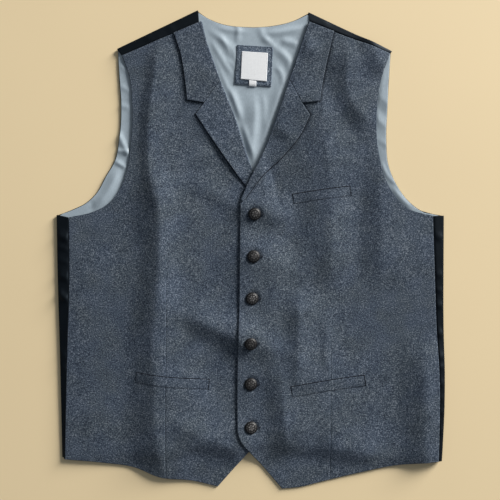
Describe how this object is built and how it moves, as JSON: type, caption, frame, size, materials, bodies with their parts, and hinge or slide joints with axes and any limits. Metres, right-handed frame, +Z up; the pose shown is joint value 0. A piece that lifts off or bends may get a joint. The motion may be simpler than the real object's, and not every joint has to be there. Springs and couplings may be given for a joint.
{
  "type": "trachten vest, laid flat",
  "caption": "Buttoned wool vest with notched lapels, welt pockets, domed buttons and a satin back, lying flat on its back on a surface.",
  "frame": {"origin": "the middle of the garment's outline, on the surface that it lies on", "axes": "+Y toward the collar, +X toward the wearer's left front, +Z up from the surface"},
  "size_m": [0.5518, 0.6814, 0.0156],
  "materials": {
    "wool": "blue-grey mottled wool, matt with a short nap",
    "back_satin": "black satin",
    "lining_satin": "grey satin",
    "button_bronze": "dark antiqued, carved dome",
    "label_weave": "woven white ribbon"
  },
  "bodies": {
    "root": {"back": "back_satin", "back_lining": "lining_satin", "front_right": "wool", "front_left": "wool", "collar_right": "wool", "collar_left": "wool", "lapel_right": "wool", "lapel_left": "wool", "breast_welt_left": "wool", "pocket_welt_left": "wool", "pocket_welt_right": "wool", "label_patch": "wool", "label": "label_weave", "size_tab": "label_weave", "button_1": "button_bronze", "button_2": "button_bronze", "button_3": "button_bronze", "button_4": "button_bronze", "button_5": "button_bronze", "button_6": "button_bronze"}
  },
  "joints": []
}
